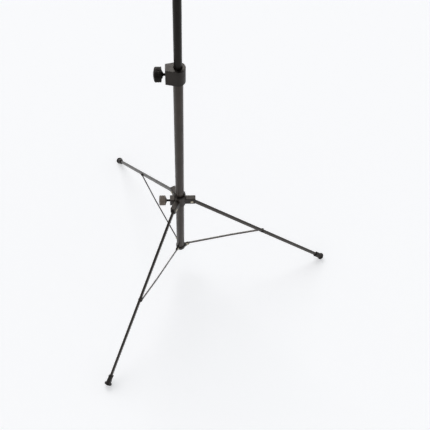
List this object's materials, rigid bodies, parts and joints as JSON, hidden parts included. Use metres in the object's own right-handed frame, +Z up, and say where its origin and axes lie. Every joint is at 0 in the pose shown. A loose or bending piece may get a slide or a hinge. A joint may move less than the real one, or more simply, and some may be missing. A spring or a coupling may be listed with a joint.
{
  "type": "speaker stand",
  "caption": "Folding tripod speaker stand with a telescopic pole, a sliding leg hub with flat braces, screw clamps with round knobs and rubber feet.",
  "frame": {"origin": "on the pole's axis at floor level, midway between the three feet", "axes": "+Z up along the pole, +X towards leg 1, the clamp knobs point along -X"},
  "size_m": [1.0312, 1.2328, 1.721],
  "materials": {
    "powder_coat": "satin black powder coat on steel tube",
    "cast_black": "black painted casting, slightly textured",
    "black_plastic": "moulded black nylon",
    "zinc_steel": "bright zinc plate",
    "black_steel": "black oxide",
    "rubber": "matt moulded rubber"
  },
  "bodies": {
    "pole": {"lower_tube": "powder_coat", "base_spider": "cast_black", "base_plug": "black_plastic", "spider_pins": "zinc_steel", "collar_housing": "cast_black", "collar_bush": "black_plastic", "collar_nut": "zinc_steel", "collar_screws": "black_steel"},
    "telescopic_tube": {"inner_tube": "powder_coat", "inner_tube_guide": "black_plastic", "top_adapter": "cast_black", "top_cap": "black_plastic", "adapter_screw": "black_steel"},
    "collar_clamp_pad": {"collar_pressure_pad": "black_plastic"},
    "collar_knob": {"collar_knob_stud": "black_steel", "collar_knob_grip": "black_plastic", "collar_knob_cap": "black_plastic"},
    "hub": {"hub_housing": "cast_black", "hub_liner": "black_plastic", "hub_nut": "zinc_steel", "hub_pivot_pins": "zinc_steel"},
    "hub_clamp_pad": {"hub_pressure_pad": "black_plastic"},
    "hub_knob": {"hub_knob_stud": "black_steel", "hub_knob_grip": "black_plastic", "hub_knob_cap": "black_plastic"},
    "leg_1": {"leg_tube_1": "powder_coat", "leg_end_cap_1": "black_plastic", "leg_rivet_1": "black_steel", "foot_1": "rubber"},
    "brace_1": {"brace_1": "powder_coat", "brace_rivet_1": "black_steel"},
    "leg_2": {"leg_tube_2": "powder_coat", "leg_end_cap_2": "black_plastic", "leg_rivet_2": "black_steel", "foot_2": "rubber"},
    "brace_2": {"brace_2": "powder_coat", "brace_rivet_2": "black_steel"},
    "leg_3": {"leg_tube_3": "powder_coat", "leg_end_cap_3": "black_plastic", "leg_rivet_3": "black_steel", "foot_3": "rubber"},
    "brace_3": {"brace_3": "powder_coat", "brace_rivet_3": "black_steel"}
  },
  "joints": [
    {"name": "tube_slide", "type": "slide", "parent": "pole", "child": "telescopic_tube", "axis": [0, 0, 1], "range_m": [-0.285, 0.4]},
    {"name": "hub_slide", "type": "slide", "parent": "pole", "child": "hub", "axis": [0, 0, 1], "range_m": [0, 0.40826]},
    {"name": "collar_pad_slide", "type": "slide", "parent": "pole", "child": "collar_clamp_pad", "axis": [-1, 0, 0], "range_m": [0, 0.003]},
    {"name": "collar_knob_turn", "type": "hinge", "parent": "collar_clamp_pad", "child": "collar_knob", "pos_m": [-0.06, 0, 1.275], "axis": [-1, 0, 0], "range_deg": [0, 720]},
    {"name": "hub_pad_slide", "type": "slide", "parent": "hub", "child": "hub_clamp_pad", "axis": [-1, 0, 0], "range_m": [0, 0.003]},
    {"name": "hub_knob_turn", "type": "hinge", "parent": "hub_clamp_pad", "child": "hub_knob", "pos_m": [-0.06, 0, 0.522], "axis": [-1, 0, 0], "range_deg": [0, 720]},
    {"name": "leg_fold_1", "type": "hinge", "parent": "hub", "child": "leg_1", "pos_m": [0.051, 0, 0.522], "axis": [0, 1, 0], "range_deg": [0, 48.09]},
    {"name": "brace_fold_1", "type": "hinge", "parent": "pole", "child": "brace_1", "pos_m": [0.032, 0, 0.161], "axis": [0, -1, 0], "range_deg": [0, 67.19]},
    {"name": "leg_fold_2", "type": "hinge", "parent": "hub", "child": "leg_2", "pos_m": [-0.02394, 0.04503, 0.522], "axis": [-0.8829, -0.4695, 0], "range_deg": [0, 48.09]},
    {"name": "brace_fold_2", "type": "hinge", "parent": "pole", "child": "brace_2", "pos_m": [-0.01502, 0.02825, 0.161], "axis": [0.8829, 0.4695, 0], "range_deg": [0, 67.19]},
    {"name": "leg_fold_3", "type": "hinge", "parent": "hub", "child": "leg_3", "pos_m": [-0.02394, -0.04503, 0.522], "axis": [0.8829, -0.4695, 0], "range_deg": [0, 48.09]},
    {"name": "brace_fold_3", "type": "hinge", "parent": "pole", "child": "brace_3", "pos_m": [-0.01502, -0.02825, 0.161], "axis": [-0.8829, 0.4695, 0], "range_deg": [0, 67.19]}
  ],
  "couplings": [
    {"joint": "collar_pad_slide", "follows": "collar_knob_turn", "m_per_rad": 0.00023873},
    {"joint": "hub_pad_slide", "follows": "hub_knob_turn", "m_per_rad": 0.00023873},
    {"joint": "leg_fold_1", "follows": "hub_slide", "rad_per_m": 2.0552},
    {"joint": "brace_fold_1", "follows": "hub_slide", "rad_per_m": 2.8716},
    {"joint": "leg_fold_2", "follows": "hub_slide", "rad_per_m": 2.0552},
    {"joint": "brace_fold_2", "follows": "hub_slide", "rad_per_m": 2.8716},
    {"joint": "leg_fold_3", "follows": "hub_slide", "rad_per_m": 2.0552},
    {"joint": "brace_fold_3", "follows": "hub_slide", "rad_per_m": 2.8716}
  ]
}
